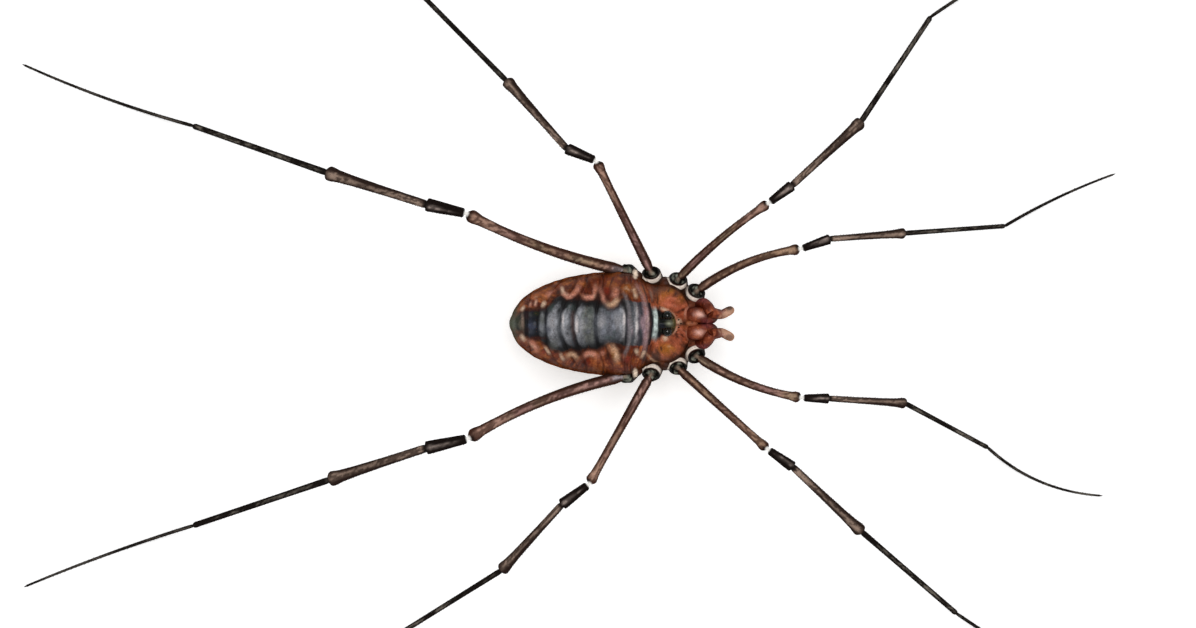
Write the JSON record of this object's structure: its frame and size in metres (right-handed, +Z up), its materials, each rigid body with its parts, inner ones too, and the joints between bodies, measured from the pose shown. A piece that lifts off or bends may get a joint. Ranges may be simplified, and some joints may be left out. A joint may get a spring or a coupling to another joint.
{
  "type": "harvestman",
  "caption": "Still life-size model of a female harvestman with an oval ringed body, eye tubercle, chelicerae, pedipalps and long thin jointed legs, standing.",
  "frame": {"origin": "on the floor under the middle of the whole animal's box", "axes": "+X towards the head, +Y towards the animal's left, +Z up"},
  "size_m": [0.051, 0.0376, 0.0098],
  "materials": {
    "abdomen": "satin cuticle, rust brown with a dark grey saddle",
    "carapace": "satin cuticle, orange rust",
    "eye": "black, glossy, moist",
    "mouthpart": "satin cuticle, reddish brown",
    "trochanter": "dark, smooth and shiny, with a cream rim",
    "femur": "satin cuticle, brown with a paler back",
    "patella": "satin cuticle, almost black",
    "tibia": "satin cuticle, grey brown, darker at the flared end",
    "metatarsus": "satin cuticle, dark brown, faintly banded",
    "tarsus": "matt cuticle, charcoal fading to grey"
  },
  "bodies": {
    "root": {"opisthosoma": "abdomen", "prosoma": "carapace", "eye_left": "eye", "chelicera_left": "mouthpart", "pedipalp_left": "mouthpart", "leg1_left_trochanter": "trochanter", "leg1_left_femur": "femur", "leg1_left_patella": "patella", "leg1_left_tibia": "tibia", "leg1_left_metatarsus": "metatarsus", "leg1_left_tarsus": "tarsus", "leg2_left_trochanter": "trochanter", "leg2_left_femur": "femur", "leg2_left_patella": "patella", "leg2_left_tibia": "tibia", "leg2_left_metatarsus": "metatarsus", "leg2_left_tarsus": "tarsus", "leg3_left_trochanter": "trochanter", "leg3_left_femur": "femur", "leg3_left_patella": "patella", "leg3_left_tibia": "tibia", "leg3_left_metatarsus": "metatarsus", "leg3_left_tarsus": "tarsus", "leg4_left_trochanter": "trochanter", "leg4_left_femur": "femur", "leg4_left_patella": "patella", "leg4_left_tibia": "tibia", "leg4_left_metatarsus": "metatarsus", "leg4_left_tarsus": "tarsus", "eye_right": "eye", "chelicera_right": "mouthpart", "pedipalp_right": "mouthpart", "leg1_right_trochanter": "trochanter", "leg1_right_femur": "femur", "leg1_right_patella": "patella", "leg1_right_tibia": "tibia", "leg1_right_metatarsus": "metatarsus", "leg1_right_tarsus": "tarsus", "leg2_right_trochanter": "trochanter", "leg2_right_femur": "femur", "leg2_right_patella": "patella", "leg2_right_tibia": "tibia", "leg2_right_metatarsus": "metatarsus", "leg2_right_tarsus": "tarsus", "leg3_right_trochanter": "trochanter", "leg3_right_femur": "femur", "leg3_right_patella": "patella", "leg3_right_tibia": "tibia", "leg3_right_metatarsus": "metatarsus", "leg3_right_tarsus": "tarsus", "leg4_right_trochanter": "trochanter", "leg4_right_femur": "femur", "leg4_right_patella": "patella", "leg4_right_tibia": "tibia", "leg4_right_metatarsus": "metatarsus", "leg4_right_tarsus": "tarsus"}
  },
  "joints": []
}
